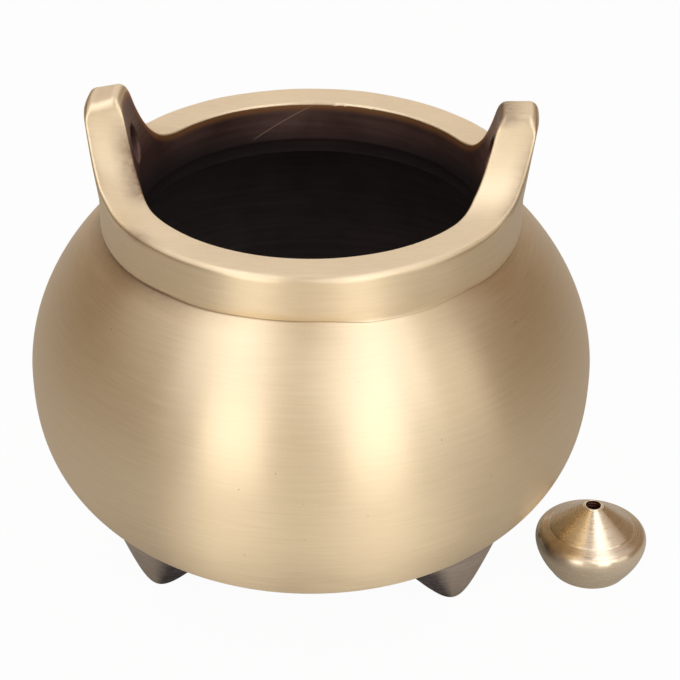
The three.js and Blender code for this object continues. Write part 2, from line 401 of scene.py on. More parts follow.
def lathe(profile, steps, section_material):
    """Points, faces, materials and lengths along the profile of a turned skin."""
    points, faces, face_materials, along = [], [], [], []
    rings = []
    lengths = np.concatenate([[0], np.cumsum([
        math.dist(a, b) for a, b in zip(profile, profile[1:])])])
    for (radius, height), length in zip(profile, lengths):
        ring = []
        for i in range(steps if radius > 0 else 1):
            turn = math.pi / 2 + 2 * math.pi * i / steps
            ring.append(len(points))
            points.append((radius * math.cos(turn), radius * math.sin(turn), height))
            along.append(length)
        rings.append(ring)
    for j, (low, high) in enumerate(zip(rings, rings[1:])):
        for i in range(steps):
            corners = [
                low[i % len(low)], low[(i + 1) % steps % len(low)],
                high[(i + 1) % steps % len(high)], high[i % len(high)]]
            faces.append(list(dict.fromkeys(corners)))
            face_materials.append(section_material(j))
    return points, faces, face_materials, along


def write(piece, name, values):
    """A number or a vector for each of the piece's points."""
    values = np.array(values, dtype=np.float32)
    kind, field = ("FLOAT", "value") if values.ndim == 1 else ("FLOAT_VECTOR", "vector")
    piece.data.attributes.new(name, kind, "POINT").data.foreach_set(field, values.ravel())


def round_grain(points, along):
    """Where each point lies in a noise whose cells are long round the axis and thin along the profile."""
    turn = np.arctan2(points[:, 1], points[:, 0])
    reach = np.hypot(points[:, 0], points[:, 1]).max() / GRAIN_ALONG
    return np.stack([reach * np.cos(turn), reach * np.sin(turn), np.array(along) / GRAIN_ACROSS], 1)


def paint_turned(piece, grain, patina_and_shade):
    """Brushing round the axis, and the patina with painted shade, for a turned piece."""
    write(piece, "round_grain", grain)
    write(piece, "patina_and_shade", patina_and_shade)
    write(piece, "top_share", np.zeros(len(grain)))
    write(piece, "smear", np.tile([0.0, 0.0, 1.0], (len(grain), 1)))


# Materials. Colours are linear, and noise scales are in cells per metre
BRASS_BRIGHT = (0.955, 0.787, 0.53)
BRASS_DEEP = (0.878, 0.715, 0.47)
# Dark brown patina, also painted shade on the belly and right ear, and a painted dark reflection on the
# holder
BRASS_PATINA_AND_SHADE = (0.14, 0.06, 0.036)
FOOT_BRIGHT = (0.82, 0.70, 0.58)
FOOT_DEEP = (0.58, 0.49, 0.40)
# Grey that paints shade on the feet near the belly and on their inward sides, and darkens their tips
FOOT_PAINTED_SHADE_COLOUR = (0.14, 0.12, 0.125)
POLISHED_BRIGHT = (1.0, 0.87, 0.66)
POLISHED_DEEP = (0.9, 0.72, 0.49)
SPECK_COLOUR = (0.40, 0.27, 0.15)
NECK_DEEP = (0.13, 0.07, 0.058)
NECK_BRIGHT = (0.225, 0.13, 0.106)
BOWL_SOOT = (0.072, 0.056, 0.052)
BOWL_BRIGHT = (0.117, 0.09, 0.081)
BORE_DEEP = (0.10, 0.035, 0.022)
BORE_BRIGHT = (0.20, 0.085, 0.055)
WORN_COLOUR = (0.55, 0.25, 0.09)
SCRATCH_COLOUR = (0.55, 0.38, 0.26)

CLOUD_SCALE = 70.0
FINE_SCALE = 5200.0
SPECK_SCALE = 420.0
PIT_SCALE = 2600.0
RAGGED_SCALE = 1400.0
SMOKE_SCALE = 200.0
# How much of the tone comes from the brushed lines, the clouds and the fine grain
LINE_WEIGHT = 0.55
CLOUD_WEIGHT = 0.25
FINE_WEIGHT = 0.2
# How far the roughness wanders with the lines and the clouds, and what the patina and painted shade add
LINE_ROUGHNESS = 0.04
CLOUD_ROUGHNESS = 0.02
PATINA_AND_SHADE_ROUGHNESS = 0.1
SMOKE_ROUGHNESS = 0.06
RELIEF_DEPTH = 0.00001
SMOKE_RELIEF_DEPTH = 0.00002

# The neck's soot: where it starts and where it is full, and how far it rises at the sides
SOOT_START = COLLAR_FOOT + 2.2
SOOT_FULL = COLLAR_FOOT - 1.3
SOOT_SIDE_RISE = 3.0
# One hairline scratch inside the neck: angles from +X and heights from end to end, half widths where it
# starts and where it is full, and its strength
SCRATCH_ANGLES = (92.4, 116.1)
SCRATCH_HEIGHTS = (56.9, 51.95)
SCRATCH_HALF_WIDTHS = (0.11, 0.04)
SCRATCH_STRENGTH = 0.9


class Shader:
    """The nodes of a material or a world, under construction."""

    def __init__(self, owner):
        owner.use_nodes = True
        self.owner = owner
        self.tree = owner.node_tree
        self.surface = self.tree.nodes.get("Principled BSDF")

    def node(self, kind, **settings):
        made = self.tree.nodes.new(kind)
        for key, value in settings.items():
            setattr(made, key, value)
        return made

    def link(self, source, target):
        if isinstance(source, (int, float, tuple)):
            target.default_value = source
        else:
            self.tree.links.new(source, target)

    def math(self, operation, first, second=0.0, clamp=False):
        made = self.node("ShaderNodeMath", operation=operation, use_clamp=clamp)
        self.link(first, made.inputs[0])
        self.link(second, made.inputs[1])
        return made.outputs[0]

    def attribute(self, name, kind="Fac"):
        return self.node("ShaderNodeAttribute", attribute_name=name).outputs[kind]

    def noise(self, vector, scale, detail, roughness=0.5):
        made = self.node("ShaderNodeTexNoise")
        self.link(vector, made.inputs["Vector"])
        made.inputs["Scale"].default_value = scale
        made.inputs["Detail"].default_value = detail
        made.inputs["Roughness"].default_value = roughness
        return made.outputs["Fac"]

    def spread(self, value, from_low, from_high, to_low=0.0, to_high=1.0):
        made = self.node("ShaderNodeMapRange")
        self.link(value, made.inputs["Value"])
        for name, number in (
                ("From Min", from_low), ("From Max", from_high), ("To Min", to_low), ("To Max", to_high)):
            made.inputs[name].default_value = number
        return made.outputs["Result"]

    def blend(self, share, first, second):
        """Between two colours, which are inputs 6 and 7 of the node."""
        made = self.node("ShaderNodeMix", data_type="RGBA")
        self.link(share, made.inputs["Factor"])
        for colour, place in ((first, 6), (second, 7)):
            self.link((*colour, 1.0) if isinstance(colour, tuple) else colour, made.inputs[place])
        return made.outputs["Result"]

    def mix_values(self, share, first, second):
        made = self.node("ShaderNodeMix", data_type="FLOAT")
        for value, place in ((share, 0), (first, 2), (second, 3)):
            self.link(value, made.inputs[place])
        return made.outputs[0]

    def bump(self, height, strength, depth, under=None):
        made = self.node("ShaderNodeBump")
        made.inputs["Strength"].default_value = strength
        made.inputs["Distance"].default_value = depth
        self.link(height, made.inputs["Height"])
        if under is not None:
            self.link(under, made.inputs["Normal"])
        return made.outputs["Normal"]

    def place(self):
        return self.node("ShaderNodeTexCoord").outputs["Object"]

    def place_parts(self):
        parts = self.node("ShaderNodeSeparateXYZ")
        self.link(self.place(), parts.inputs["Vector"])
        return parts.outputs["X"], parts.outputs["Y"], parts.outputs["Z"]

    def seen_by(self):
        """Whether it is the camera that looks, and whether it is the metal."""
        path = self.node("ShaderNodeLightPath")
        in_metal = self.math("ADD", path.outputs["Is Glossy Ray"], path.outputs["Is Transmission Ray"])
        return path.outputs["Is Camera Ray"], in_metal

    def mix_shaders(self, share, first, second, output):
        mix = self.node("ShaderNodeMixShader")
        for source, place in ((share, 0), (first.outputs[0], 1), (second.outputs[0], 2)):
            self.link(source, mix.inputs[place])
        self.link(mix.outputs["Shader"], self.tree.nodes[output].inputs["Surface"])


def new_material(name):
    return Shader(bpy.data.materials.new(name))


def brushed_lines(shader):
    """The brushing round the axis, turned along the ears on their tops."""
    around = shader.noise(shader.attribute("round_grain", "Vector"), 1.0, 3.0, 0.55)
    along_top = shader.noise(shader.attribute("cross_grain", "Vector"), 1.0, 3.0, 0.55)
    return shader.mix_values(shader.attribute("top_share"), around, along_top)


def brass(name, bright, deep, roughness, anisotropy, relief, grit=0.0, patina_and_shade_colour=BRASS_PATINA_AND_SHADE):
    """Brushed brass: fine lines, soft tone clouds, specks, and patina and painted shade where the mesh says
    so.
    """
    shader = new_material(name)
    surface = shader.surface
    lines = brushed_lines(shader)
    clouds = shader.noise(shader.place(), CLOUD_SCALE, 3.0)
    fine = shader.noise(shader.place(), FINE_SCALE, 1.0)
    tone = shader.math(
        "ADD", shader.math("MULTIPLY", lines, LINE_WEIGHT), shader.math("MULTIPLY", clouds, CLOUD_WEIGHT))
    tone = shader.math("ADD", tone, shader.math("MULTIPLY", fine, FINE_WEIGHT))
    colour = shader.blend(shader.spread(tone, 0.36, 0.64), deep, bright)

    specks = shader.node("ShaderNodeTexVoronoi")
    specks.inputs["Scale"].default_value = SPECK_SCALE
    shader.link(shader.place(), specks.inputs["Vector"])
    pits = shader.noise(shader.place(), PIT_SCALE, 2.0)
    rare = shader.math(
        "MULTIPLY", shader.spread(specks.outputs["Distance"], 0.05, 0.02), shader.spread(pits, 0.52, 0.6))
    colour = shader.blend(rare, colour, SPECK_COLOUR)

    ragged = shader.spread(shader.noise(shader.place(), RAGGED_SCALE, 3.0), 0.3, 0.7, 0.8, 1.2)
    # The patina and the painted shade, read from the mesh, darken the colour
    patina_and_shade = shader.math("MULTIPLY", shader.attribute("patina_and_shade"), ragged, clamp=True)
    colour = shader.blend(patina_and_shade, colour, patina_and_shade_colour)
    shader.link(colour, surface.inputs["Base Color"])
    surface.inputs["Metallic"].default_value = 1.0

    rough = shader.spread(lines, 0.25, 0.75, roughness - LINE_ROUGHNESS, roughness + LINE_ROUGHNESS)
    rough = shader.math("ADD", rough, shader.spread(clouds, 0.3, 0.7, -CLOUD_ROUGHNESS, CLOUD_ROUGHNESS))
    rough = shader.math("ADD", rough, shader.math("MULTIPLY", patina_and_shade, PATINA_AND_SHADE_ROUGHNESS))
    shader.link(rough, surface.inputs["Roughness"])
    surface.inputs["Anisotropic"].default_value = anisotropy
    shader.link(shader.attribute("smear", "Vector"), surface.inputs["Tangent"])

    normal = shader.bump(lines, relief, RELIEF_DEPTH)
    if grit:
        normal = shader.bump(pits, grit, RELIEF_DEPTH, normal)
    shader.link(normal, surface.inputs["Normal"])
    return shader.owner


def neck_wear(shader, colour):
    """The neck's soot, which thickens downwards, its warm worn edge and its scratch, on a colour."""
    x, y, z = shader.place_parts()
    across = shader.math("DIVIDE", shader.math("SUBTRACT", x, BURNER_X * MM), NECK_BORE * MM)
    sides = shader.math("MULTIPLY", shader.math("POWER", across, 2.0), SOOT_SIDE_RISE * MM)
    level = shader.math("SUBTRACT", z, sides)
    colour = shader.blend(shader.spread(level, SOOT_START * MM, SOOT_FULL * MM), colour, BOWL_SOOT)
    colour = shader.blend(shader.attribute("worn_edge"), colour, WORN_COLOUR)

    turn = shader.math("ARCTAN2", shader.math("DIVIDE", y, NECK_BORE * MM), across)
    start, end = SCRATCH_ANGLES
    share = shader.spread(turn, math.radians(start), math.radians(end))
    first, last = SCRATCH_HEIGHTS
    height = shader.spread(share, 0.0, 1.0, first * MM, last * MM)
    away = shader.math("ABSOLUTE", shader.math("SUBTRACT", z, height))
    ends = shader.math("MULTIPLY", shader.spread(share, 0.0, 0.04), shader.spread(share, 1.0, 0.9))
    wide, narrow = SCRATCH_HALF_WIDTHS
    line = shader.math(
        "MULTIPLY", shader.spread(away, wide * MM, narrow * MM),
        shader.math("MULTIPLY", ends, SCRATCH_STRENGTH))
    return shader.blend(line, colour, SCRATCH_COLOUR)


def dark_patina(name, deep, bright, metallic, roughness, wear=None):
    """Smoke-dark metal, with more wear on its colour if a function for it is given."""
    shader = new_material(name)
    lines = shader.noise(shader.attribute("round_grain", "Vector"), 0.5, 3.0)
    clouds = shader.noise(shader.place(), SMOKE_SCALE, 5.0)
    tone = shader.math("MULTIPLY", shader.math("ADD", lines, clouds), 0.5)
    colour = shader.blend(shader.spread(tone, 0.35, 0.65), deep, bright)
    if wear:
        colour = wear(shader, colour)
    shader.link(colour, shader.surface.inputs["Base Color"])
    shader.surface.inputs["Metallic"].default_value = metallic
    rough = shader.spread(clouds, 0.3, 0.7, roughness - SMOKE_ROUGHNESS, roughness + SMOKE_ROUGHNESS)
    shader.link(rough, shader.surface.inputs["Roughness"])
    shader.link(shader.bump(lines, 0.5, SMOKE_RELIEF_DEPTH), shader.surface.inputs["Normal"])
    return shader.owner


satin_wall = brass(
    "satin_brass", BRASS_BRIGHT, BRASS_DEEP, roughness=0.40, anisotropy=0.85, relief=0.12)
foot_brass = brass(
    "satin_brass_foot", FOOT_BRIGHT, FOOT_DEEP, roughness=0.45, anisotropy=0.3, relief=0.6, grit=0.6,
    patina_and_shade_colour=FOOT_PAINTED_SHADE_COLOUR)
polished = brass(
    "polished_brass", POLISHED_BRIGHT, POLISHED_DEEP, roughness=0.27, anisotropy=0.75, relief=0.5, grit=1.0)
neck_dark = dark_patina("neck_patina", NECK_DEEP, NECK_BRIGHT, metallic=0.7, roughness=0.42, wear=neck_wear)
bowl_dark = dark_patina("bowl_patina", BOWL_SOOT, BOWL_BRIGHT, metallic=0.3, roughness=0.65)
bore_dark = dark_patina("bore_patina", BORE_DEEP, BORE_BRIGHT, metallic=0.8, roughness=0.4)


# Belly
def belly_patina_and_shade(x, y, z):
    """How dark the belly is: crease patina, patina and painted shade round the feet, painted shade below."""
    radius = math.hypot(x, y)
    inside = radius <= belly_radius_at(z) - BELLY_WALL / 3
    if inside:
        return 0.0
    if z > COLLAR_FOOT - FINE_BAND:
        azimuth = azimuth_from_front(x, y)
        groove = stepped(GROOVE, azimuth)
        meeting = upper_height_at(collar_reach(azimuth), 0)
        start = meeting - CREASE_START - CREASE_START_MORE * groove
        full = meeting - CREASE_FULL - CREASE_FULL_MORE * groove
        return crease_shade(groove) * smoothstep(z, start, full)
    if z > EQUATOR:
        return 0.0
    # Painted shade underneath and at the lower edge, and patina with painted shade round each foot
    shades = [
        UNDER_SHADE * (1 - smoothstep(radius, *UNDER_SHADE_RADII)),
        LOWER_SHADE * (1 - smoothstep(radius, *LOWER_SHADE_RADII))]
    for angle in FOOT_ANGLES.values():
        away = math.dist((x, y), (FOOT_SHADE_CIRCLE * math.cos(angle), FOOT_SHADE_CIRCLE * math.sin(angle)))
        shades.append(FOOT_SHADE * (1 - smoothstep(away, *FOOT_SHADE_RADII)))
    return max(shades)


def build_belly():
    fine_start = COLLAR_FOOT - FINE_BAND
    outer = [(0, UNDERSIDE)] + meridian(UNDERSIDE, fine_start, 0, 140)
    outer += meridian(fine_start, COLLAR_FOOT, 0, 36)[1:]
    mouth = [(MOUTH_BORE, COLLAR_FOOT)]
    floor_height = lower_height_at(FLOOR_RADIUS, -BELLY_WALL)
    inner_top = upper_height_at(MOUTH_BORE, -BELLY_WALL)
    inner = meridian(floor_height, inner_top, -BELLY_WALL, 60)[::-1]
    profile = outer + mouth + inner + [(0, floor_height)]
    points, faces, kinds, along = lathe(profile, 240, lambda j: 0 if j < len(outer) else 1)
    points = np.array(points)
    piece = make_piece(
        "belly_skin", points + np.array([BURNER_X, 0, 0]), faces, [satin_wall, bowl_dark], kinds,
        "burner", "belly_bowl")
    paint_turned(piece, round_grain(points, along), [belly_patina_and_shade(*point) for point in points])


# Collar and ears
def ear_outline():
    """One ear's side outline as (half width, height above the rim) points, from the foot up."""
    corner_height = EAR_HEIGHT - EAR_CORNER_RADIUS * (1 - math.cos(EAR_FLANK_ANGLE))
    corner_half_width = EAR_TOP_HALF_WIDTH + EAR_CORNER_RADIUS * math.sin(EAR_FLANK_ANGLE)
    flank = bezier([
        (EAR_SPREAD, 0),
        (EAR_SPREAD - EAR_FOOT_EASE, 0),
        (corner_half_width + EAR_FLANK_EASE * math.cos(EAR_FLANK_ANGLE),
         corner_height - EAR_FLANK_EASE * math.sin(EAR_FLANK_ANGLE)),
        (corner_half_width, corner_height),
    ], 56)
    steps = 12
    for i in range(1, steps + 1):
        turn = EAR_FLANK_ANGLE * (1 - i / steps)
        flank.append((
            EAR_TOP_HALF_WIDTH + EAR_CORNER_RADIUS * math.sin(turn),
            EAR_HEIGHT - EAR_CORNER_RADIUS * (1 - math.cos(turn))))
    return flank


def ear_crest():
    """The ear's outline from its top down, as (angle from the ear's middle, height above the rim)."""
    return [(math.asin(half / COLLAR_RADIUS), height) for half, height in ear_outline()][::-1]


def collar_stations():
    """Round the ring as (angle, height above the rim), from the back."""
    ear = ear_crest()
    top = [(angle, EAR_HEIGHT) for angle in np.linspace(0, ear[0][0], 8)[:-1]]
    rim_start = ear[-1][0]
    rim = [(angle, 0.0) for angle in np.linspace(rim_start, math.pi / 2, 66)[1:]]
    quarter = top + ear + rim
    half = quarter + [(math.pi - angle, height) for angle, height in quarter[-2::-1]]
    whole = half + [(2 * math.pi - angle, height) for angle, height in half[-2:0:-1]]
    back = len(quarter) - 1
    return whole[back:] + whole[:back]


def collar_foot(azimuth):
    """The foot of the collar's section as (radius, height) points, from inside up to the plain wall."""
    groove = stepped(GROOVE, azimuth)
    fill = stepped(FILL, azimuth)
    reach = collar_reach(azimuth)
    gap = HAIRLINE_GAP * smoothstep(groove, *HAIRLINE_GROOVES) + OPEN_GAP * smoothstep(groove, *OPEN_GROOVES)
    gap -= COLLAR_OVERLAP
    start = reach + FILL_SPREAD * fill
    base = upper_height_at(start, 0) + gap - FILL_SINK * fill
    bend = reach + COLLAR_BEND + FILL_BEND * fill
    bend_height = upper_height_at(bend, 0) + gap + COLLAR_LIFT * (1 - fill)
    rise = COLLAR_RISE + FILL_RISE * fill + TUCK_RISE * (COLLAR_RADIUS - reach)
    wall_start = upper_height_at(reach, 0) + gap + rise
    foot = [(COLLAR_RADIUS - COLLAR_INSET, COLLAR_FOOT - COLLAR_OVERLAP)]
    foot += bezier([
        (start, base), (bend, bend_height),
        (COLLAR_RADIUS, wall_start - COLLAR_PULL - FILL_PULL * fill), (COLLAR_RADIUS, wall_start),
    ], 14)
    return foot + [(COLLAR_RADIUS, wall_start + (WALL_FOOT - wall_start) * t) for t in (0.35, 0.7)]


def collar_section(angle, height):
    """One section of the collar wall as (radius, height, kind): 0 outside and top, 1 inside."""
    x, y = math.cos(angle), math.sin(angle)
    azimuth = azimuth_from_front(x, y)
    top = RIM + height
    share = smoothstep(height, 0, FLARE_BLEND)
    top_share = smoothstep(height, EAR_HEIGHT - EAR_TOP_BLEND, EAR_HEIGHT)

    def outer(at):
        return COLLAR_RADIUS + OUTER_FLARE * share * max(0.0, at - RIM + OUTER_FLARE_DROP)

    def inner(at):
        return NECK_BORE + INNER_FLARE * share * max(0.0, at - RIM - INNER_FLARE_RISE)

    nick = sum(
        depth * math.exp(-((math.degrees(angle) - place + 180) % 360 - 180) ** 2 / (width * width))
        for place, depth, width in NICKS)
    wave = sum(depth * math.sin(count * angle + phase) for depth, count, phase in EDGE_WAVES)
    rim_round = stepped(RIM_ROUND, azimuth)
    low_round = rim_round + (EAR_FLANK_ROUND - rim_round) * share + wave * (1 - share)
    outer_round = low_round + (EAR_TOP_ROUND - low_round) * top_share
    low_inner = INNER_EDGE_ROUND + INNER_WAVE_SHARE * wave + nick
    inner_round = low_inner + (EAR_TOP_INNER_ROUND - low_inner) * top_share

    wall_top = top - outer_round
    wall = [(outer(at), at) for at in np.linspace(WALL_FOOT, wall_top, 12)[:-1]]
    edge = arc((outer(wall_top) - outer_round, wall_top), outer_round, 0, 90, 8)
    lift = LEFT_EAR_LIFT * top_share if x < 0 else 0.0
    inner_edge_at = top + lift - inner_round
    inner_edge = arc((inner(inner_edge_at) + inner_round, inner_edge_at), inner_round, 90, 180, 6)
    flat = [
        (edge[-1][0] + (inner_edge[0][0] - edge[-1][0]) * t, top + lift * t)
        for t in np.linspace(0, 1, 8)[1:-1]]
    bore = [
        (inner(at), at) for at in np.linspace(inner_edge_at - BORE_END_GAP, STEP_HEIGHT + BORE_END_GAP, 22)]
    step = [
        (NECK_BORE + STEP_BREAK_ACROSS, STEP_HEIGHT + STEP_BREAK_ABOVE),
        (STEP_BORE - STEP_BREAK_ACROSS, STEP_HEIGHT),
        (STEP_BORE, STEP_HEIGHT - STEP_BREAK_BELOW),
        (STEP_BORE, SPIGOT_BOTTOM + SPIGOT_CHAMFER),
        (STEP_BORE + SPIGOT_CHAMFER, SPIGOT_BOTTOM),
        (SPIGOT_RADIUS, SPIGOT_BOTTOM),
        (SPIGOT_RADIUS, SPIGOT_TOP)]
    outside = collar_foot(azimuth) + wall + edge + flat + inner_edge
    return [(radius, at, 0) for radius, at in outside] + [(radius, at, 1) for radius, at in bore + step]


def hole_cutter():
    """An oval bar along X through both ears, widened where it leaves their inner and outer faces."""
    middle = RIM + HOLE_HEIGHT
    inner_face = NECK_BORE + INNER_FLARE * (HOLE_HEIGHT - INNER_FLARE_RISE)
    outer_face = COLLAR_RADIUS + OUTER_FLARE * (HOLE_HEIGHT + OUTER_FLARE_DROP)
    edge = [
        (HOLE_EDGE_ROUND * t, HOLE_EDGE_ROUND * (1 - math.sqrt(1 - (1 - t) ** 2)))
        for t in np.linspace(0, 1, 7)]
    places = [(inner_face - HOLE_TOOL_REACH, HOLE_EDGE_ROUND, INNER_FLARE)]
    places += [(inner_face + inset, grow, INNER_FLARE) for inset, grow in edge]
    places += [(outer_face - inset, grow, OUTER_FLARE) for inset, grow in edge[::-1]]
    places += [(outer_face + HOLE_TOOL_REACH, HOLE_EDGE_ROUND, OUTER_FLARE)]

    bar = bmesh.new()
    rings = []
    steps = 64
    for place, grow, lean in places:
        ring = []
        for i in range(steps):
            turn = 2 * math.pi * i / steps
            across = (HOLE_HALF_WIDTH + grow) * math.cos(turn)
            rise = (HOLE_HALF_HEIGHT + grow) * math.sin(turn)
            ring.append(bar.verts.new([part * MM for part in (place + lean * rise, across, middle + rise)]))
        rings.append(ring)
    for a, b in zip(rings, rings[1:]):
        for i in range(steps):
            bar.faces.new((a[i], a[(i + 1) % steps], b[(i + 1) % steps], b[i]))
    bar.faces.new(rings[0][::-1])
    bar.faces.new(rings[-1])
    bmesh.ops.recalc_face_normals(bar, faces=bar.faces)
    other = bmesh.ops.duplicate(bar, geom=list(bar.verts) + list(bar.edges) + list(bar.faces))["geom"]
    bmesh.ops.rotate(
        bar, verts=[part for part in other if isinstance(part, bmesh.types.BMVert)],
        cent=(0, 0, 0), matrix=Matrix.Rotation(math.pi, 3, "Z"))
    bmesh.ops.translate(bar, verts=bar.verts, vec=(BURNER_X * MM, 0, 0))
    for face in bar.faces:
        face.material_index = 1
        face.smooth = True
    mesh = bpy.data.meshes.new("hole_cutter")
    bar.to_mesh(mesh)
    bar.free()
    return new_object("hole_cutter", mesh)


def cut_away(piece, cutter):
    """Cuts the cutter out of the piece for good."""
    for material in piece.data.materials:
        cutter.data.materials.append(material)
    cut = piece.modifiers.new("cut", "BOOLEAN")
    cut.operation = "DIFFERENCE"
    cut.solver = "EXACT"
    cut.object = cutter
    graph = bpy.context.evaluated_depsgraph_get()
    mesh = bpy.data.meshes.new_from_object(piece.evaluated_get(graph))
    piece.modifiers.remove(cut)
    old = piece.data
    piece.data = mesh
    bpy.data.meshes.remove(old)
    bpy.data.objects.remove(cutter)


def inner_face_at(z):
    return NECK_BORE + INNER_FLARE * np.clip(z - RIM - INNER_FLARE_RISE, 0, EAR_HEIGHT)


def collar_patina_and_shade(x, y, z, depth):
    """How dark the collar is: crease and left-ear patina, right-ear painted shade with patina, and a smudge.
    """
    radius = np.hypot(x, y)
    azimuths = np.array([azimuth_from_front(a, b) for a, b in zip(x, y)])
    groove = np.array([stepped(GROOVE, azimuth) for azimuth in azimuths])
    meeting = np.array([upper_height_at(collar_reach(azimuth), 0) for azimuth in azimuths])
    crease_end = meeting + CREASE_END + CREASE_END_MORE * groove
    crease = crease_shade(groove) * ramp(crease_end - z, 0, CREASE_END_SOFTNESS)
    crease *= radius > COLLAR_RADIUS - CREASE_DEPTH

    outer_face = COLLAR_RADIUS + OUTER_FLARE * np.clip(z - RIM + OUTER_FLARE_DROP, 0, EAR_HEIGHT)
    near_inner = 1 - ramp(radius - inner_face_at(z), *INNER_SHADE_REACH)
    near_outer = 1 - ramp(outer_face - radius, *OUTER_SHADE_REACH)
    on_flank = ramp(z - RIM, *FLANK_SHADE_RISE) * ramp(EAR_TOP - z, *FLANK_SHADE_FALL)
    on_flank *= (depth < FLANK_SHADE_DEPTH) & (y < 0)
    left_flank = LEFT_FLANK_SHADE * near_inner ** LEFT_FLANK_GROWTH * on_flank * (x < 0)
    # Painted shade on the right ear's outer flank, and patina with painted shade on its top
    right_flank = RIGHT_FLANK_SHADE * near_outer * on_flank * (x > 0)
    right_top = RIGHT_TOP_SHADE * near_inner * (1 - ramp(EAR_TOP - z, *RIGHT_TOP_SHADE_FALL))
    right_top *= (depth < RIGHT_TOP_SHADE_DEPTH) & (x > 0)

    turned = (azimuths - SMUDGE_AZIMUTH) / SMUDGE_SPREAD
    inset = (radius - COLLAR_RADIUS + SMUDGE_INSET) / SMUDGE_WIDTH
    smudge = SMUDGE_SHADE * np.exp(-turned ** 2 - inset ** 2) * (1 - ramp(depth, *SMUDGE_DEPTHS))
    return np.maximum.reduce([crease, left_flank, right_flank, right_top, smudge])


def paint_collar(piece):
    """The collar's brushing, patina with painted shade, and worn edge, from where each of its points lies."""
    count = len(piece.data.vertices)
    flat = np.empty(count * 3, dtype=np.float32)
    piece.data.vertices.foreach_get("co", flat)
    placed = flat.reshape(count, 3) / MM - np.array([BURNER_X, 0, 0])
    x, y, z = placed.T
    radius = np.hypot(x, y)
    angles, heights = zip(*ear_crest())
    depth = RIM + np.interp(np.arctan2(np.abs(y), np.abs(x)), angles, heights) - z
    top_share = 1 - ramp(depth, *TOP_GRAIN_DEPTHS) * ramp(radius - NECK_BORE, *TOP_GRAIN_REACHES)
    write(piece, "round_grain", round_grain(placed, z))
    over = y - np.sign(y) * (z - EAR_TOP)
    write(piece, "cross_grain", np.stack([
        x / TOP_GRAIN_ALONG, over / GRAIN_ACROSS, np.sign(x) * EAR_GRAIN_STEP], 1))
    write(piece, "top_share", top_share)
    write(piece, "smear", np.stack([0 * z, top_share, 1 + LEAST_SMEAR - top_share], 1))
    write(piece, "patina_and_shade", collar_patina_and_shade(x, y, z, depth))
    worn = (1 - ramp(depth, *WORN_DEPTHS)) * (radius < inner_face_at(z) + WORN_REACH)
    write(piece, "worn_edge", worn)


def build_collar():
    stations = collar_stations()
    sections = [collar_section(angle, height) for angle, height in stations]
    sides = len(sections[0])
    points, faces, kinds = [], [], []
    for (angle, _), section in zip(stations, sections):
        points += [
            (BURNER_X + radius * math.cos(angle), radius * math.sin(angle), at) for radius, at, _ in section]
    for i in range(len(stations)):
        beyond = (i + 1) % len(stations)
        for j in range(sides):
            up = (j + 1) % sides
            faces.append((i * sides + j, beyond * sides + j, beyond * sides + up, i * sides + up))
            kinds.append(sections[i][up][2])
    piece = make_piece(
        "collar_and_ears", points, faces, [satin_wall, neck_dark], kinds,
        "burner", "neck_collar_with_ears")
    cut_away(piece, hole_cutter())
    paint_collar(piece)


# Feet
def build_foot(name, angle):
    profile = [(0, 0)]
    rings = 48
    for i in range(1, rings + 1):
        height = FOOT_LENGTH * (i / rings) ** 2
        profile.append((math.sqrt(2 * FOOT_TIP_RADIUS * height + (FOOT_TAPER * height) ** 2), height))
    profile.append((0, FOOT_LENGTH))
    points, faces, kinds, along = lathe(profile, 96, lambda j: 0)
    reach = FOOT_CIRCLE + FOOT_TIP_RADIUS * math.sin(FOOT_TILT)
    set_up = Matrix.Rotation(angle, 3, "Z")
    lean = Matrix.Rotation(-FOOT_TILT, 3, "Y")
    placed, patina_and_shade = [], []
    for point in points:
        turn = abs(math.degrees(math.atan2(point[1], point[0])))
        spot = lean @ Vector(point) + Vector((reach, 0, -FOOT_TIP_CUT))
        spot.z = max(0.0, spot.z)
        radius = math.hypot(spot.x, spot.y)
        skin = lower_height_at(min(radius, BELLY_RADIUS), 0)
        depth = spot.z - (skin + FOOT_SINK)
        if depth > 0:
            spot.z = skin + FOOT_SINK + FOOT_SINK_SQUEEZE * depth
        # Painted shade near the belly and on the inward side, and darker towards the tip
        patina_and_shade.append(max(
            FOOT_TOP_SHADE * smoothstep(spot.z, skin + FOOT_TOP_SHADE_FROM, skin + FOOT_TOP_SHADE_TO),
            FOOT_INNER_SHADE * smoothstep(turn, *FOOT_INNER_SHADE_ANGLES),
            FOOT_TIP_SHADE * (1 - smoothstep(spot.z, *FOOT_TIP_SHADE_HEIGHTS))))
        spot = set_up @ spot
        placed.append((spot.x + BURNER_X, spot.y, spot.z))
    piece = make_piece(
        f"{name}_skin", placed, faces, [foot_brass], kinds, "burner", name)
    paint_turned(piece, round_grain(np.array(points), along), patina_and_shade)


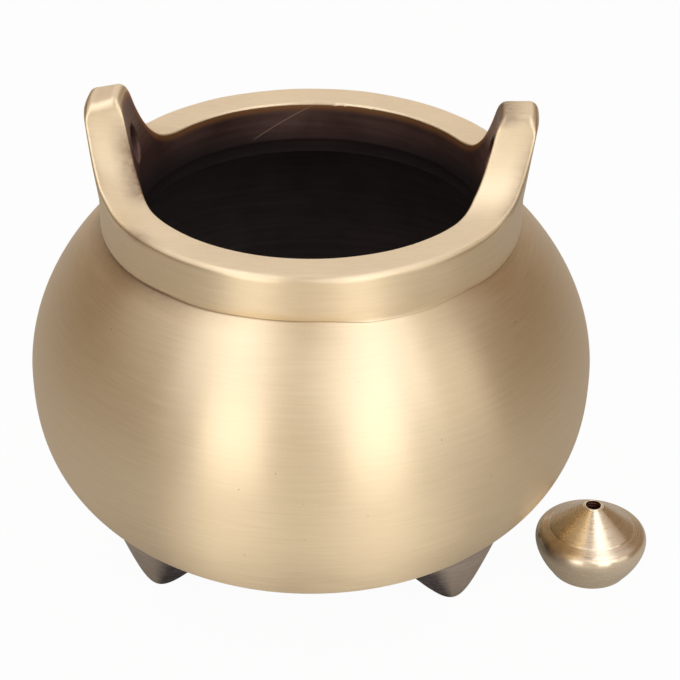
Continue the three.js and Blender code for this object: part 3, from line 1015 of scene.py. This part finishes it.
# Stick holder
def holder_profile():
    """The holder's outline from its base to its lip."""
    drum = bezier([
        (HOLDER_BASE_RADIUS, HOLDER_BASE_ROUND),
        (HOLDER_BASE_RADIUS + HOLDER_BASE_SWELL, HOLDER_BASE_ROUND + HOLDER_BASE_SWELL),
        (HOLDER_RADIUS, HOLDER_SHOULDER - HOLDER_DRUM_EASE),
        (HOLDER_RADIUS, HOLDER_SHOULDER),
    ], 60)
    run = HOLDER_CONE_FOOT_RADIUS - HOLDER_LIP_RADIUS
    fall = HOLDER_HEIGHT - HOLDER_CONE_FOOT_HEIGHT
    shoulder = bezier([
        (HOLDER_RADIUS, HOLDER_SHOULDER),
        (HOLDER_RADIUS, HOLDER_SHOULDER + HOLDER_SHOULDER_EASE),
        (HOLDER_CONE_FOOT_RADIUS + HOLDER_CONE_EASE * run, HOLDER_CONE_FOOT_HEIGHT - HOLDER_CONE_EASE * fall),
        (HOLDER_CONE_FOOT_RADIUS, HOLDER_CONE_FOOT_HEIGHT),
    ], 40)[1:]
    cone = [
        (HOLDER_CONE_FOOT_RADIUS - run * t, HOLDER_CONE_FOOT_HEIGHT + fall * t)
        for t in np.linspace(0, HOLDER_CONE_SHARE, 50)[1:]]
    base_centre = (HOLDER_BASE_RADIUS - HOLDER_BASE_ROUND, HOLDER_BASE_ROUND)
    base = [(base_centre[0], 0)] + arc(base_centre, HOLDER_BASE_ROUND, -80, -5, 6)
    lip = [
        (HOLDER_LIP_RADIUS + HOLDER_LIP_EASE, HOLDER_HEIGHT - HOLDER_LIP_FALL),
        (HOLDER_LIP_RADIUS, HOLDER_HEIGHT - HOLDER_LIP_EASE),
        (HOLDER_LIP_RADIUS - HOLDER_LIP_CHAMFER, HOLDER_HEIGHT),
        (HOLDER_BORE + HOLDER_BORE_CHAMFER, HOLDER_HEIGHT),
        (HOLDER_BORE + HOLDER_BORE_EASE, HOLDER_HEIGHT - HOLDER_LIP_EASE)]
    return base + drum + shoulder + cone + lip


# A painted dark reflection of the burner's shaded side on the holder's shoulder
def holder_painted_reflection(x, y, z):
    turned = (azimuth_from_front(x, y) - HOLDER_REFLECTION_AZIMUTH) / HOLDER_REFLECTION_SPREAD
    risen = (z - HOLDER_REFLECTION_HEIGHT) / HOLDER_REFLECTION_RISE
    return HOLDER_REFLECTION_SHADE * math.exp(-turned ** 2 - risen ** 2)


def build_holder():
    outer = []
    for radius, height in holder_profile():
        sunk = sum(
            depth * math.exp(-((radius - at) ** 2 + (height - level) ** 2) / TURNED_LINE_SPREAD)
            for at, level, depth in TURNED_LINES)
        outer.append((radius - sunk, height))
    bore = [(HOLDER_BORE, HOLDER_HEIGHT - HOLDER_LIP_FALL)]
    for i in range(THREAD_TURNS):
        top = HOLDER_HEIGHT - THREAD_START - THREAD_PITCH * i
        bore += [
            (HOLDER_BORE, top), (HOLDER_BORE + THREAD_DEPTH, top - THREAD_FLANK),
            (HOLDER_BORE, top - 2 * THREAD_FLANK)]
    bore.append((HOLDER_BORE, 0))
    profile = outer + bore
    profile.append(profile[0])
    steps = 128
    points, faces, kinds, along = lathe(
        profile, steps, lambda j: 0 if j < len(outer) - 1 or j >= len(profile) - 2 else 1)
    # The last ring is the first one again, so its faces take the first one's points
    kept = len(points) - steps
    faces = [[corner - kept if corner >= kept else corner for corner in face] for face in faces]
    points = np.array(points[:kept])
    piece = make_piece(
        "stick_holder_skin", points + np.array([HOLDER_X, HOLDER_Y, 0]), faces, [polished, bore_dark], kinds,
        "stick_holder", "incense_stick_holder")
    paint_turned(piece, round_grain(points, along[:kept]), [holder_painted_reflection(*point) for point in points])


build_belly()
build_collar()
for foot, foot_angle in FOOT_ANGLES.items():
    build_foot(foot, foot_angle)
build_holder()


# Table, light and camera
WHITE = (1.0, 1.0, 1.0)
TABLE_HALF_WIDTH = 3.0
TABLE_COLOUR = (0.82, 0.82, 0.82, 1.0)
TABLE_ROUGHNESS = 0.6
# How much of what the camera, and what the metal, sees of the table is even glow and not its lit surface
CAMERA_GLOW_SHARE = 0.96
METAL_GLOW_SHARE = 0.75
# How bright that glow shows in the metal, by azimuth: painted pools, brightest below the two key lights
TABLE_GLOW = (
    (-180, 0.36), (-90, 0.41), (-45, 0.42), (-26, 0.97), (-16, 0.93), (0, 0.76), (18, 0.95), (30, 1.02),
    (56, 0.44), (90, 0.41), (180, 0.36),
)
# The ramp that holds it takes colours up to 1, so it is kept at a share of its brightness
GLOW_SHARE = 0.5
TABLE_WARMTH = (1.0, 0.945, 0.885)
# The painted shadow under the burner: how bright it shows there, and the radii between which it fades
TABLE_SHADE = 0.34
TABLE_SHADE_RADII = (26, 52)
# How much of the white surroundings shows in the metal, and the dim warm light that fills the rest
SURROUNDINGS = 0.05
AMBIENT_COLOUR = (1.0, 0.62, 0.33, 1.0)
AMBIENT_STRENGTH = 0.21
# The lamps' two whites
NEUTRAL = (0.98, 1.0, 1.02)
COOL = (0.94, 1.0, 1.12)


def glow_in_metal(shader):
    """How bright the table shows in the metal at each place: painted pools of light and a painted shadow."""
    x, y, _ = shader.place_parts()
    across = shader.math("SUBTRACT", x, BURNER_X * MM)
    azimuth = shader.math("ARCTAN2", across, shader.math("MULTIPLY", y, -1.0))
    by_azimuth = shader.node("ShaderNodeValToRGB")
    stops = by_azimuth.color_ramp.elements
    for place, (at, bright) in enumerate(TABLE_GLOW):
        share = at / 360 + 0.5
        stop = stops[place] if place < len(stops) else stops.new(share)
        stop.position = share
        stop.color = (bright * GLOW_SHARE, bright * GLOW_SHARE, bright * GLOW_SHARE, 1.0)
    shader.link(shader.spread(azimuth, -math.pi, math.pi), by_azimuth.inputs["Fac"])
    away = shader.math(
        "SQRT", shader.math("ADD", shader.math("POWER", across, 2.0), shader.math("POWER", y, 2.0)))
    shade_start, shade_end = TABLE_SHADE_RADII
    shade = shader.spread(away, shade_start * MM, shade_end * MM, TABLE_SHADE, 1.0)
    shade = shader.math("MULTIPLY", shade, 1 / GLOW_SHARE)
    return shader.math("MULTIPLY", by_azimuth.outputs["Color"], shade)


def table_material():
    """Lit white paint, which the camera sees nearly as plain white and the metal as a soft glow."""
    shader = new_material("white_table")
    shader.surface.inputs["Base Color"].default_value = TABLE_COLOUR
    shader.surface.inputs["Roughness"].default_value = TABLE_ROUGHNESS
    by_camera, in_metal = shader.seen_by()
    glow = shader.node("ShaderNodeEmission")
    shader.link(shader.blend(in_metal, WHITE, TABLE_WARMTH), glow.inputs["Color"])
    shader.link(shader.mix_values(in_metal, 1.0, glow_in_metal(shader)), glow.inputs["Strength"])
    share = shader.math(
        "ADD", shader.math("MULTIPLY", by_camera, CAMERA_GLOW_SHARE),
        shader.math("MULTIPLY", in_metal, METAL_GLOW_SHARE))
    shader.mix_shaders(share, shader.surface, glow, "Material Output")
    return shader.owner


def build_table():
    sheet = bmesh.new()
    bmesh.ops.create_grid(sheet, x_segments=1, y_segments=1, size=TABLE_HALF_WIDTH)
    mesh = bpy.data.meshes.new("table_top")
    sheet.to_mesh(mesh)
    sheet.free()
    mesh.materials.append(table_material())
    table = new_object("table_top", mesh)


def build_world():
    world = bpy.data.worlds.new("studio")
    bpy.context.scene.world = world
    shader = Shader(world)
    ambient = shader.tree.nodes["Background"]
    ambient.inputs["Color"].default_value = AMBIENT_COLOUR
    ambient.inputs["Strength"].default_value = AMBIENT_STRENGTH
    white = shader.node("ShaderNodeBackground")
    white.inputs["Color"].default_value = (*WHITE, 1.0)
    by_camera, in_metal = shader.seen_by()
    share = shader.math("ADD", by_camera, shader.math("MULTIPLY", in_metal, SURROUNDINGS))
    shader.mix_shaders(share, ambient, white, "World Output")


def softbox(name, azimuth, elevation, distance, size, radiance, colour):
    """An area light aimed at the burner, at an azimuth and an elevation in degrees as seen from it."""
    turn, rise = math.radians(azimuth), math.radians(elevation)
    aim = Vector((BURNER_X * MM, 0, EQUATOR * MM))
    away = Vector((math.sin(turn) * math.cos(rise), -math.cos(turn) * math.cos(rise), math.sin(rise)))
    data = bpy.data.lights.new(name, "AREA")
    data.shape = "RECTANGLE"
    data.size, data.size_y = size
    data.energy = radiance * size[0] * size[1] * math.pi
    data.color = colour
    light = new_object(name, data)
    light.location = aim + away * distance
    light.rotation_euler = (-away).to_track_quat("-Z", "Y").to_euler()


def build_lights():
    """Two key lamps with their upper parts, and fainter fills all round and overhead."""
    softbox("left_low", -25, 10, 0.6, (0.26, 0.2), 2.15, NEUTRAL)
    softbox("left_high", -34, 34, 0.6, (0.44, 0.28), 1.0, COOL)
    softbox("right_low", 29, 10, 0.6, (0.24, 0.2), 2.1, NEUTRAL)
    softbox("right_high", 32, 34, 0.6, (0.46, 0.28), 1.45, COOL)
    softbox("right_far", 64, 20, 0.6, (0.3, 0.36), 0.7, NEUTRAL)
    softbox("front_fill", -1, 24, 0.6, (0.16, 0.4), 0.42, NEUTRAL)
    softbox("overhead", 3, 54, 0.7, (0.24, 0.2), 0.95, COOL)
    softbox("overhead_near_left", -34, 62, 0.7, (0.17, 0.28), 0.85, COOL)
    softbox("overhead_near_right", 38, 62, 0.7, (0.17, 0.28), 1.05, COOL)
    softbox("overhead_back", 183, 72, 0.7, (0.5, 0.3), 1.1, COOL)
    softbox("overhead_left", -60, 67, 0.7, (0.28, 0.3), 1.6, COOL)
    softbox("overhead_right", 66, 67, 0.7, (0.28, 0.3), 1.35, COOL)
    softbox("side_left", -84, 50, 0.7, (0.5, 0.5), 0.53, COOL)
    softbox("side_right", 88, 50, 0.7, (0.5, 0.5), 0.33, COOL)
    softbox("back_wall", 183, 34, 0.8, (0.9, 0.6), 0.53, COOL)


def build_camera():
    turn = Matrix.Rotation(YAW, 3, "Z")
    right = turn @ Vector((1, 0, 0))
    back = turn @ Vector((0, -math.cos(ELEVATION), math.sin(ELEVATION)))
    up = turn @ Vector((0, math.sin(ELEVATION), math.cos(ELEVATION)))
    target = Vector((BURNER_X, 0, 0)) + right * TARGET_RIGHT + Vector((0, 0, TARGET_HEIGHT))
    place = (target + back * DISTANCE) * MM
    across = right * math.cos(ROLL) + up * math.sin(ROLL)
    upward = up * math.cos(ROLL) - right * math.sin(ROLL)
    data = bpy.data.cameras.new("camera")
    data.sensor_width = SENSOR_WIDTH
    data.lens = FOCAL_PX / FRAME_PX * SENSOR_WIDTH
    data.clip_start = 0.01
    camera = new_object("camera", data)
    camera.matrix_world = Matrix.Translation(place) @ Matrix((across, upward, back)).transposed().to_4x4()
    bpy.context.scene.camera = camera


build_table()
build_world()
build_lights()
build_camera()
bpy.context.scene.view_settings.view_transform = "Standard"
